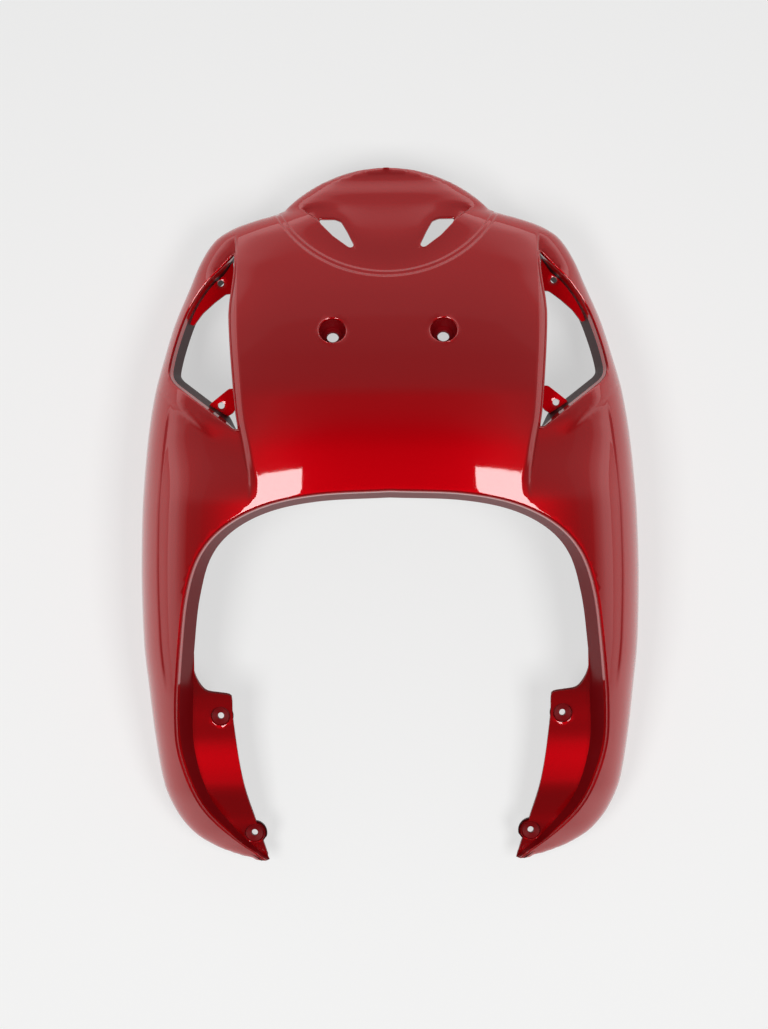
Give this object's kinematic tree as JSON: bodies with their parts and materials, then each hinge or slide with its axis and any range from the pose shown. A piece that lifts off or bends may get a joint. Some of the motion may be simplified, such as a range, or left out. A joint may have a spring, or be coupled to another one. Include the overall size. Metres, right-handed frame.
{
  "type": "scooter front nose panel",
  "caption": "Moulded scooter front nose panel: a crowned shield with a beak, lamp openings at the sides and two legs round a wheel arch, screwed on from the front.",
  "frame": {"origin": "Middle of the panel's footprint, at the level of the flat back rim that it rests on.", "axes": "+X across the panel to the right as seen from the front, +Y from the leg tips to the beak, +Z out of the front face."},
  "size_m": [0.401, 0.559, 0.15],
  "materials": {
    "painted_plastic": "glossy"
  },
  "bodies": {
    "root": {"nose_panel": "painted_plastic"}
  },
  "joints": []
}
